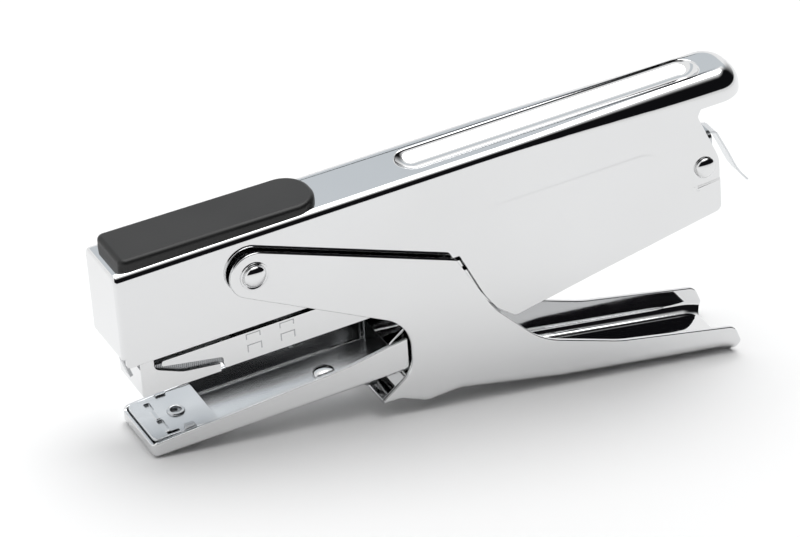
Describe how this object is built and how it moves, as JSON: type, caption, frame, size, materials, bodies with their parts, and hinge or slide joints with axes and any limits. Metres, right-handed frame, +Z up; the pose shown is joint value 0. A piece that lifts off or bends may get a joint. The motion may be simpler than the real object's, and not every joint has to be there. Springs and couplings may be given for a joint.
{
  "type": "plier stapler",
  "caption": "Hand-held plier stapler in chromed sheet steel, with a squeeze handle, a hinged anvil arm and a rear-loading magazine.",
  "frame": {"origin": "centre of the bounding box in plan, on the surface that the stapler stands on", "axes": "+X runs from the jaw to the grips, +Z is up, and the stapler is symmetric about the XZ plane but for two small pieces"},
  "size_m": [0.1944, 0.0272, 0.088],
  "materials": {
    "chrome": "bright chrome plating on pressed sheet steel",
    "steel": "bright zinc plated steel",
    "anvil_steel": "fine matt nickel plated steel",
    "rivet_steel": "polished plated rivet",
    "spring_steel": "hardened spring steel, lightly oiled",
    "staple_wire": "zinc coated wire",
    "cap_plastic": "black moulded plastic, satin",
    "inner_plastic": "black moulded plastic"
  },
  "bodies": {
    "housing": {"upper_housing": "chrome", "head_cap": "cap_plastic", "driver_block": "inner_plastic", "driver_blade": "steel", "front_guide_leaf": "spring_steel", "front_pivot_rivet": "rivet_steel", "pivot_washer_left": "rivet_steel", "pivot_washer_right": "rivet_steel", "pivot_spacer_left": "steel", "pivot_spacer_right": "steel", "rear_rivet_left": "rivet_steel", "rear_rivet_right": "rivet_steel", "magazine_return_spring": "spring_steel"},
    "handle": {"lower_handle": "chrome"},
    "arm": {"anvil_arm": "chrome", "anvil_plate": "anvil_steel", "anvil_plate_rivet": "rivet_steel", "anvil_plate_clip": "steel", "leaf_spring_rivet": "rivet_steel", "handle_leaf_spring": "spring_steel"},
    "magazine": {"magazine_channel": "chrome", "magazine_nose": "chrome", "staple_rail": "steel", "staple_strip": "staple_wire", "magazine_bridge": "steel"},
    "feeder": {"feeder_end_plate": "steel", "pusher_rod": "steel", "pusher_spring": "spring_steel"},
    "pusher": {"staple_pusher": "inner_plastic"},
    "tongue": {"release_tongue": "spring_steel"}
  },
  "joints": [
    {"name": "handle_squeeze", "type": "hinge", "parent": "housing", "child": "handle", "pos_m": [-0.05851, 0, 0.05204], "axis": [0, -1, 0], "range_deg": [0, 13.3], "stiffness_Nm_per_rad": 4, "springref_deg": -17.19},
    {"name": "arm_swing", "type": "hinge", "parent": "housing", "child": "arm", "pos_m": [0.0763, 0, 0.06028], "axis": [0, 1, 0], "range_deg": [0, 6.7], "deforming": ["handle_leaf_spring"]},
    {"name": "magazine_swing", "type": "hinge", "parent": "housing", "child": "magazine", "pos_m": [0.0763, 0, 0.06028], "axis": [0, 1, 0], "range_deg": [0, 2.25], "deforming": ["magazine_return_spring"]},
    {"name": "feeder_pull", "type": "slide", "parent": "magazine", "child": "feeder", "axis": [0.9848, 0, 0.1736], "range_m": [0, 0.12]},
    {"name": "pusher_slide", "type": "slide", "parent": "feeder", "child": "pusher", "axis": [0.9848, 0, 0.1736], "range_m": [0, 0.06], "stiffness_N_per_m": 20, "springref_m": -0.1, "deforming": ["pusher_spring"]},
    {"name": "tongue_flex", "type": "hinge", "parent": "feeder", "child": "tongue", "pos_m": [0.07994, 0, 0.06671], "axis": [0, 1, 0], "range_deg": [0, 8], "stiffness_Nm_per_rad": 0.2, "springref_deg": -8.59}
  ],
  "couplings": [
    {"joint": "arm_swing", "follows": "handle_squeeze", "ratio": 0.5},
    {"joint": "magazine_swing", "follows": "handle_squeeze", "ratio": 0.165}
  ]
}
